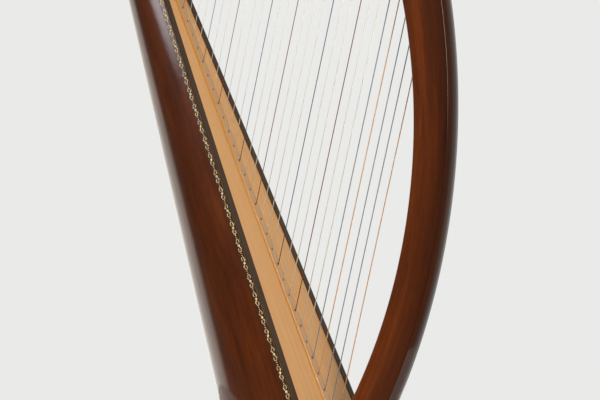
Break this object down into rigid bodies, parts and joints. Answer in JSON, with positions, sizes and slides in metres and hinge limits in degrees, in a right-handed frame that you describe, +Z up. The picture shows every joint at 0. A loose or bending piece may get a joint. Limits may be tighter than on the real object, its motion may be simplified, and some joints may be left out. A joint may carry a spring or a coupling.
{
  "type": "lever harp",
  "caption": "Free-standing lever harp with a bowed pillar, a round-backed soundbox, turning tuning pins and sharping levers.",
  "frame": {"origin": "on the floor, at the middle of the harp's bounding box", "axes": "+X forward, from the player to the pillar; +Y to the player's left, the side of the neck that the strings run past; +Z up"},
  "size_m": [0.624, 0.294, 1.0194],
  "materials": {
    "mahogany": "clear gloss lacquer over red-brown mahogany",
    "spruce": "satin lacquer over warm spruce",
    "pale_wood": "satin lacquer over pale hardwood",
    "ebony": "satin, stained black",
    "maple": "bare, planed",
    "steel": "nickel plated",
    "brass": "polished",
    "nylon": "clear and coloured monofilament",
    "wound_wire": "close wound",
    "rubber": "matte"
  },
  "bodies": {
    "harp_frame": {"soundbox_shell": "mahogany", "soundboard": "spruce", "string_rib": "pale_wood", "edge_strip_left": "ebony", "edge_strip_right": "ebony", "liner_left": "maple", "liner_right": "maple", "brace_lower": "maple", "brace_upper": "maple", "bottom_block": "maple", "shoulder_block": "mahogany", "neck_dowel": "maple", "nylon_strings": "nylon", "wound_strings": "wound_wire", "neck": "mahogany", "pillar": "mahogany", "base": "mahogany", "pillar_bolt": "steel", "foot_front_left": "rubber", "foot_front_right": "rubber", "foot_back_left": "rubber", "foot_back_right": "rubber"},
    "lever_c6": {"lever_c6": "brass"},
    "lever_f5": {"lever_f5": "brass"},
    "lever_c5": {"lever_c5": "brass"},
    "lever_f4": {"lever_f4": "brass"},
    "lever_c4": {"lever_c4": "brass"},
    "lever_f3": {"lever_f3": "brass"},
    "lever_c3": {"lever_c3": "brass"},
    "lever_f2": {"lever_f2": "brass"},
    "lever_c2": {"lever_c2": "brass"},
    "tuning_pin_c6": {"tuning_pin_c6": "steel"},
    "tuning_pin_b5": {"tuning_pin_b5": "steel"},
    "tuning_pin_a5": {"tuning_pin_a5": "steel"},
    "tuning_pin_g5": {"tuning_pin_g5": "steel"},
    "tuning_pin_f5": {"tuning_pin_f5": "steel"},
    "tuning_pin_e5": {"tuning_pin_e5": "steel"},
    "tuning_pin_d5": {"tuning_pin_d5": "steel"},
    "tuning_pin_c5": {"tuning_pin_c5": "steel"},
    "tuning_pin_b4": {"tuning_pin_b4": "steel"},
    "tuning_pin_a4": {"tuning_pin_a4": "steel"},
    "tuning_pin_g4": {"tuning_pin_g4": "steel"},
    "tuning_pin_f4": {"tuning_pin_f4": "steel"},
    "tuning_pin_e4": {"tuning_pin_e4": "steel"},
    "tuning_pin_d4": {"tuning_pin_d4": "steel"},
    "tuning_pin_c4": {"tuning_pin_c4": "steel"},
    "tuning_pin_b3": {"tuning_pin_b3": "steel"},
    "tuning_pin_a3": {"tuning_pin_a3": "steel"},
    "tuning_pin_g3": {"tuning_pin_g3": "steel"},
    "tuning_pin_f3": {"tuning_pin_f3": "steel"},
    "tuning_pin_e3": {"tuning_pin_e3": "steel"},
    "tuning_pin_d3": {"tuning_pin_d3": "steel"},
    "tuning_pin_c3": {"tuning_pin_c3": "steel"},
    "tuning_pin_b2": {"tuning_pin_b2": "steel"},
    "tuning_pin_a2": {"tuning_pin_a2": "steel"},
    "tuning_pin_g2": {"tuning_pin_g2": "steel"},
    "tuning_pin_f2": {"tuning_pin_f2": "steel"},
    "tuning_pin_e2": {"tuning_pin_e2": "steel"},
    "tuning_pin_d2": {"tuning_pin_d2": "steel"},
    "tuning_pin_c2": {"tuning_pin_c2": "steel"}
  },
  "joints": [
    {"name": "lever_c6_flip", "type": "hinge", "parent": "harp_frame", "child": "lever_c6", "pos_m": [-0.17522, 0, 0.91439], "axis": [0, 1, 0], "range_deg": [0, 90]},
    {"name": "lever_f5_flip", "type": "hinge", "parent": "harp_frame", "child": "lever_f5", "pos_m": [-0.12659, 0, 0.87389], "axis": [0, 1, 0], "range_deg": [0, 90]},
    {"name": "lever_c5_flip", "type": "hinge", "parent": "harp_frame", "child": "lever_c5", "pos_m": [-0.08756, 0, 0.85299], "axis": [0, 1, 0], "range_deg": [0, 90]},
    {"name": "lever_f4_flip", "type": "hinge", "parent": "harp_frame", "child": "lever_f4", "pos_m": [-0.03192, 0, 0.8387], "axis": [0, 1, 0], "range_deg": [0, 90]},
    {"name": "lever_c4_flip", "type": "hinge", "parent": "harp_frame", "child": "lever_c4", "pos_m": [0.01252, 0, 0.83811], "axis": [0, 1, 0], "range_deg": [0, 90]},
    {"name": "lever_f3_flip", "type": "hinge", "parent": "harp_frame", "child": "lever_f3", "pos_m": [0.07507, 0, 0.84945], "axis": [0, 1, 0], "range_deg": [0, 90]},
    {"name": "lever_c3_flip", "type": "hinge", "parent": "harp_frame", "child": "lever_c3", "pos_m": [0.124, 0, 0.86505], "axis": [0, 1, 0], "range_deg": [0, 90]},
    {"name": "lever_f2_flip", "type": "hinge", "parent": "harp_frame", "child": "lever_f2", "pos_m": [0.19095, 0, 0.89078], "axis": [0, 1, 0], "range_deg": [0, 90]},
    {"name": "lever_c2_flip", "type": "hinge", "parent": "harp_frame", "child": "lever_c2", "pos_m": [0.24153, 0, 0.9097], "axis": [0, 1, 0], "range_deg": [0, 90]},
    {"name": "tuning_pin_c6_turn", "type": "hinge", "parent": "harp_frame", "child": "tuning_pin_c6", "pos_m": [-0.15365, 0, 0.9516], "axis": [0, 1, 0], "continuous": true},
    {"name": "tuning_pin_b5_turn", "type": "hinge", "parent": "harp_frame", "child": "tuning_pin_b5", "pos_m": [-0.14169, 0, 0.94091], "axis": [0, 1, 0], "continuous": true},
    {"name": "tuning_pin_a5_turn", "type": "hinge", "parent": "harp_frame", "child": "tuning_pin_a5", "pos_m": [-0.12948, 0, 0.93108], "axis": [0, 1, 0], "continuous": true},
    {"name": "tuning_pin_g5_turn", "type": "hinge", "parent": "harp_frame", "child": "tuning_pin_g5", "pos_m": [-0.11704, 0, 0.92217], "axis": [0, 1, 0], "continuous": true},
    {"name": "tuning_pin_f5_turn", "type": "hinge", "parent": "harp_frame", "child": "tuning_pin_f5", "pos_m": [-0.10434, 0, 0.9142], "axis": [0, 1, 0], "continuous": true},
    {"name": "tuning_pin_e5_turn", "type": "hinge", "parent": "harp_frame", "child": "tuning_pin_e5", "pos_m": [-0.09138, 0, 0.90721], "axis": [0, 1, 0], "continuous": true},
    {"name": "tuning_pin_d5_turn", "type": "hinge", "parent": "harp_frame", "child": "tuning_pin_d5", "pos_m": [-0.07816, 0, 0.90121], "axis": [0, 1, 0], "continuous": true},
    {"name": "tuning_pin_c5_turn", "type": "hinge", "parent": "harp_frame", "child": "tuning_pin_c5", "pos_m": [-0.06466, 0, 0.89623], "axis": [0, 1, 0], "continuous": true},
    {"name": "tuning_pin_b4_turn", "type": "hinge", "parent": "harp_frame", "child": "tuning_pin_b4", "pos_m": [-0.0509, 0, 0.89228], "axis": [0, 1, 0], "continuous": true},
    {"name": "tuning_pin_a4_turn", "type": "hinge", "parent": "harp_frame", "child": "tuning_pin_a4", "pos_m": [-0.03686, 0, 0.88938], "axis": [0, 1, 0], "continuous": true},
    {"name": "tuning_pin_g4_turn", "type": "hinge", "parent": "harp_frame", "child": "tuning_pin_g4", "pos_m": [-0.02255, 0, 0.88752], "axis": [0, 1, 0], "continuous": true},
    {"name": "tuning_pin_f4_turn", "type": "hinge", "parent": "harp_frame", "child": "tuning_pin_f4", "pos_m": [-0.00796, 0, 0.8867], "axis": [0, 1, 0], "continuous": true},
    {"name": "tuning_pin_e4_turn", "type": "hinge", "parent": "harp_frame", "child": "tuning_pin_e4", "pos_m": [0.0069, 0, 0.88691], "axis": [0, 1, 0], "continuous": true},
    {"name": "tuning_pin_d4_turn", "type": "hinge", "parent": "harp_frame", "child": "tuning_pin_d4", "pos_m": [0.02203, 0, 0.88813], "axis": [0, 1, 0], "continuous": true},
    {"name": "tuning_pin_c4_turn", "type": "hinge", "parent": "harp_frame", "child": "tuning_pin_c4", "pos_m": [0.03741, 0, 0.89033], "axis": [0, 1, 0], "continuous": true},
    {"name": "tuning_pin_b3_turn", "type": "hinge", "parent": "harp_frame", "child": "tuning_pin_b3", "pos_m": [0.05305, 0, 0.89348], "axis": [0, 1, 0], "continuous": true},
    {"name": "tuning_pin_a3_turn", "type": "hinge", "parent": "harp_frame", "child": "tuning_pin_a3", "pos_m": [0.06894, 0, 0.89752], "axis": [0, 1, 0], "continuous": true},
    {"name": "tuning_pin_g3_turn", "type": "hinge", "parent": "harp_frame", "child": "tuning_pin_g3", "pos_m": [0.08505, 0, 0.90241], "axis": [0, 1, 0], "continuous": true},
    {"name": "tuning_pin_f3_turn", "type": "hinge", "parent": "harp_frame", "child": "tuning_pin_f3", "pos_m": [0.10138, 0, 0.90807], "axis": [0, 1, 0], "continuous": true},
    {"name": "tuning_pin_e3_turn", "type": "hinge", "parent": "harp_frame", "child": "tuning_pin_e3", "pos_m": [0.1179, 0, 0.91444], "axis": [0, 1, 0], "continuous": true},
    {"name": "tuning_pin_d3_turn", "type": "hinge", "parent": "harp_frame", "child": "tuning_pin_d3", "pos_m": [0.13461, 0, 0.92143], "axis": [0, 1, 0], "continuous": true},
    {"name": "tuning_pin_c3_turn", "type": "hinge", "parent": "harp_frame", "child": "tuning_pin_c3", "pos_m": [0.15148, 0, 0.92894], "axis": [0, 1, 0], "continuous": true},
    {"name": "tuning_pin_b2_turn", "type": "hinge", "parent": "harp_frame", "child": "tuning_pin_b2", "pos_m": [0.16848, 0, 0.93687], "axis": [0, 1, 0], "continuous": true},
    {"name": "tuning_pin_a2_turn", "type": "hinge", "parent": "harp_frame", "child": "tuning_pin_a2", "pos_m": [0.1856, 0, 0.94511], "axis": [0, 1, 0], "continuous": true},
    {"name": "tuning_pin_g2_turn", "type": "hinge", "parent": "harp_frame", "child": "tuning_pin_g2", "pos_m": [0.2028, 0, 0.95354], "axis": [0, 1, 0], "continuous": true},
    {"name": "tuning_pin_f2_turn", "type": "hinge", "parent": "harp_frame", "child": "tuning_pin_f2", "pos_m": [0.22006, 0, 0.96203], "axis": [0, 1, 0], "continuous": true},
    {"name": "tuning_pin_e2_turn", "type": "hinge", "parent": "harp_frame", "child": "tuning_pin_e2", "pos_m": [0.23734, 0, 0.97045], "axis": [0, 1, 0], "continuous": true},
    {"name": "tuning_pin_d2_turn", "type": "hinge", "parent": "harp_frame", "child": "tuning_pin_d2", "pos_m": [0.25462, 0, 0.97866], "axis": [0, 1, 0], "continuous": true},
    {"name": "tuning_pin_c2_turn", "type": "hinge", "parent": "harp_frame", "child": "tuning_pin_c2", "pos_m": [0.27187, 0, 0.9865], "axis": [0, 1, 0], "continuous": true}
  ]
}
